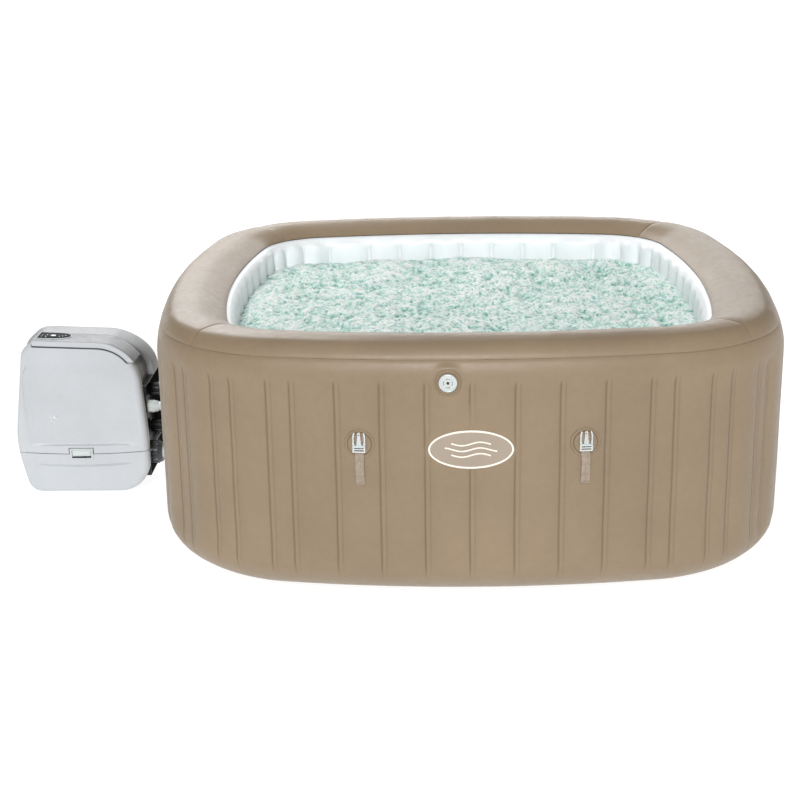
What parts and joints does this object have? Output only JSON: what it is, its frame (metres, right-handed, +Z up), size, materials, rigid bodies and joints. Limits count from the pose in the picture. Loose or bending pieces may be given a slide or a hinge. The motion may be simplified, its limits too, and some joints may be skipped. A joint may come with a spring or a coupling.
{
  "type": "inflatable hot tub",
  "caption": "Square inflatable hot tub with padded top rim, ribbed air-filled wall, white liner and a side-mounted pump and heater unit.",
  "frame": {"origin": "on the ground under the middle of the tub, on the underside of its base sheet", "axes": "+Z up, +Y to the back, -Y out of the front wall that carries the inflation valve, -X towards the pump unit"},
  "size_m": [2.5996, 2.0214, 0.8],
  "materials": {
    "taupe_vinyl": "satin embossed PVC",
    "white_vinyl": "satin PVC",
    "clear_grey": "smooth pale grey moulded plastic",
    "taupe_webbing": "woven polyester webbing",
    "light_plastic": "light grey fine-textured moulded plastic",
    "grey_plastic": "dark grey moulded plastic",
    "black_plastic": "black moulded plastic",
    "panel_gloss": "glossy black touch glass",
    "filter_paper": "pleated filter paper",
    "steel": "brushed stainless steel",
    "board_green": "sealed circuit board box"
  },
  "bodies": {
    "tub": {"base_sheet": "taupe_vinyl", "floor_liner": "white_vinyl", "outer_wall": "taupe_vinyl", "inner_wall": "white_vinyl", "rim_front": "taupe_vinyl", "rim_right": "taupe_vinyl", "rim_back": "taupe_vinyl", "rim_left": "taupe_vinyl", "wall_webs": "white_vinyl", "inflation_valve": "taupe_vinyl", "front_cover": "light_plastic", "middle_band": "grey_plastic", "rear_shell": "light_plastic", "base_tray": "grey_plastic", "control_bar": "light_plastic", "control_panel": "panel_gloss", "coupling_pan": "black_plastic", "filter_cartridge": "filter_paper", "jet_pump": "black_plastic", "heater_tube": "steel", "air_blower": "grey_plastic", "controller_box": "board_green", "cable_gland": "black_plastic", "upper_pipe": "clear_grey", "middle_pipe": "clear_grey", "lower_pipe": "clear_grey", "return_pipe": "clear_grey", "webbing_front_a": "taupe_webbing", "webbing_front_b": "taupe_webbing", "webbing_right_a": "taupe_webbing", "webbing_right_b": "taupe_webbing", "webbing_back_a": "taupe_webbing", "webbing_back_b": "taupe_webbing", "webbing_left_a": "taupe_webbing", "webbing_left_b": "taupe_webbing"},
    "buckle_front_a": {"buckle_front_a": "clear_grey"},
    "buckle_front_b": {"buckle_front_b": "clear_grey"},
    "buckle_right_a": {"buckle_right_a": "clear_grey"},
    "buckle_right_b": {"buckle_right_b": "clear_grey"},
    "buckle_back_a": {"buckle_back_a": "clear_grey"},
    "buckle_back_b": {"buckle_back_b": "clear_grey"},
    "buckle_left_a": {"buckle_left_a": "clear_grey"},
    "buckle_left_b": {"buckle_left_b": "clear_grey"},
    "valve_cap": {"valve_cap": "clear_grey"},
    "drain_cap": {"drain_cap": "grey_plastic"},
    "upper_nut": {"upper_nut": "black_plastic"},
    "middle_nut": {"middle_nut": "black_plastic"},
    "lower_nut": {"lower_nut": "black_plastic"},
    "return_nut": {"return_nut": "black_plastic"},
    "jet_nozzle_1": {"jet_nozzle_1": "clear_grey"},
    "jet_nozzle_2": {"jet_nozzle_2": "clear_grey"},
    "jet_nozzle_3": {"jet_nozzle_3": "clear_grey"},
    "jet_nozzle_4": {"jet_nozzle_4": "clear_grey"},
    "jet_nozzle_5": {"jet_nozzle_5": "clear_grey"},
    "jet_nozzle_6": {"jet_nozzle_6": "clear_grey"},
    "jet_nozzle_7": {"jet_nozzle_7": "clear_grey"},
    "jet_nozzle_8": {"jet_nozzle_8": "clear_grey"},
    "pump_impeller": {"pump_impeller": "steel"},
    "filter_hatch": {"filter_hatch": "light_plastic"},
    "hatch_latch": {"hatch_latch": "clear_grey"}
  },
  "joints": [
    {"name": "buckle_front_a_flip", "type": "hinge", "parent": "tub", "child": "buckle_front_a", "pos_m": [-0.32084, -1.004, 0.5], "axis": [0.9956, -0.0933, 0], "range_deg": [0, 165]},
    {"name": "buckle_front_b_flip", "type": "hinge", "parent": "tub", "child": "buckle_front_b", "pos_m": [0.32084, -1.004, 0.5], "axis": [0.9956, 0.0933, 0], "range_deg": [0, 165]},
    {"name": "buckle_right_a_flip", "type": "hinge", "parent": "tub", "child": "buckle_right_a", "pos_m": [1.004, -0.32084, 0.5], "axis": [0.0933, 0.9956, 0], "range_deg": [0, 165]},
    {"name": "buckle_right_b_flip", "type": "hinge", "parent": "tub", "child": "buckle_right_b", "pos_m": [1.004, 0.32084, 0.5], "axis": [-0.0933, 0.9956, 0], "range_deg": [0, 165]},
    {"name": "buckle_back_a_flip", "type": "hinge", "parent": "tub", "child": "buckle_back_a", "pos_m": [0.32084, 1.004, 0.5], "axis": [-0.9956, 0.0933, 0], "range_deg": [0, 165]},
    {"name": "buckle_back_b_flip", "type": "hinge", "parent": "tub", "child": "buckle_back_b", "pos_m": [-0.32084, 1.004, 0.5], "axis": [-0.9956, -0.0933, 0], "range_deg": [0, 165]},
    {"name": "buckle_left_a_flip", "type": "hinge", "parent": "tub", "child": "buckle_left_a", "pos_m": [-1.004, 0.32084, 0.5], "axis": [-0.0933, -0.9956, 0], "range_deg": [0, 165]},
    {"name": "buckle_left_b_flip", "type": "hinge", "parent": "tub", "child": "buckle_left_b", "pos_m": [-1.004, -0.32084, 0.5], "axis": [0.0933, -0.9956, 0], "range_deg": [0, 165]},
    {"name": "valve_cap_turn", "type": "hinge", "parent": "tub", "child": "valve_cap", "pos_m": [-0.06799, -1.00377, 0.705], "axis": [-0.0198, -0.9966, 0.0794], "continuous": true},
    {"name": "drain_cap_turn", "type": "hinge", "parent": "tub", "child": "drain_cap", "pos_m": [-0.96389, 0.54812, 0.19], "axis": [-0.9871, 0.1599, 0], "continuous": true},
    {"name": "upper_nut_turn", "type": "hinge", "parent": "tub", "child": "upper_nut", "pos_m": [-1.142, 0.2, 0.33], "axis": [1, 0, 0], "continuous": true},
    {"name": "middle_nut_turn", "type": "hinge", "parent": "tub", "child": "middle_nut", "pos_m": [-1.142, 0.085, 0.3], "axis": [1, 0, 0], "continuous": true},
    {"name": "lower_nut_turn", "type": "hinge", "parent": "tub", "child": "lower_nut", "pos_m": [-1.142, 0.2, 0.19], "axis": [1, 0, 0], "continuous": true},
    {"name": "return_nut_turn", "type": "hinge", "parent": "tub", "child": "return_nut", "pos_m": [-1.142, 0.115, 0.118], "axis": [1, 0, 0], "continuous": true},
    {"name": "jet_nozzle_1_turn", "type": "hinge", "parent": "tub", "child": "jet_nozzle_1", "pos_m": [-0.44506, -0.72163, 0.33], "axis": [0.1403, 0.9901, 0], "continuous": true},
    {"name": "jet_nozzle_2_turn", "type": "hinge", "parent": "tub", "child": "jet_nozzle_2", "pos_m": [0.44506, -0.72163, 0.33], "axis": [-0.1403, 0.9901, 0], "continuous": true},
    {"name": "jet_nozzle_3_turn", "type": "hinge", "parent": "tub", "child": "jet_nozzle_3", "pos_m": [0.72163, -0.44506, 0.33], "axis": [-0.9901, 0.1403, 0], "continuous": true},
    {"name": "jet_nozzle_4_turn", "type": "hinge", "parent": "tub", "child": "jet_nozzle_4", "pos_m": [0.72163, 0.44506, 0.33], "axis": [-0.9901, -0.1403, 0], "continuous": true},
    {"name": "jet_nozzle_5_turn", "type": "hinge", "parent": "tub", "child": "jet_nozzle_5", "pos_m": [0.44506, 0.72163, 0.33], "axis": [-0.1403, -0.9901, 0], "continuous": true},
    {"name": "jet_nozzle_6_turn", "type": "hinge", "parent": "tub", "child": "jet_nozzle_6", "pos_m": [-0.44506, 0.72163, 0.33], "axis": [0.1403, -0.9901, 0], "continuous": true},
    {"name": "jet_nozzle_7_turn", "type": "hinge", "parent": "tub", "child": "jet_nozzle_7", "pos_m": [-0.72163, 0.44506, 0.33], "axis": [0.9901, -0.1403, 0], "continuous": true},
    {"name": "jet_nozzle_8_turn", "type": "hinge", "parent": "tub", "child": "jet_nozzle_8", "pos_m": [-0.72163, -0.44506, 0.33], "axis": [0.9901, 0.1403, 0], "continuous": true},
    {"name": "pump_impeller_spin", "type": "hinge", "parent": "tub", "child": "pump_impeller", "pos_m": [-1.47, 0.195, 0.115], "axis": [0, 1, 0], "continuous": true},
    {"name": "filter_hatch_hinge", "type": "hinge", "parent": "tub", "child": "filter_hatch", "pos_m": [-1.356, 0.012, 0.0128], "axis": [1, 0, 0], "range_deg": [0, 80]},
    {"name": "hatch_latch_slide", "type": "slide", "parent": "filter_hatch", "child": "hatch_latch", "axis": [0, 0, -1], "range_m": [0, 0.005], "stiffness_N_per_m": 300}
  ]
}
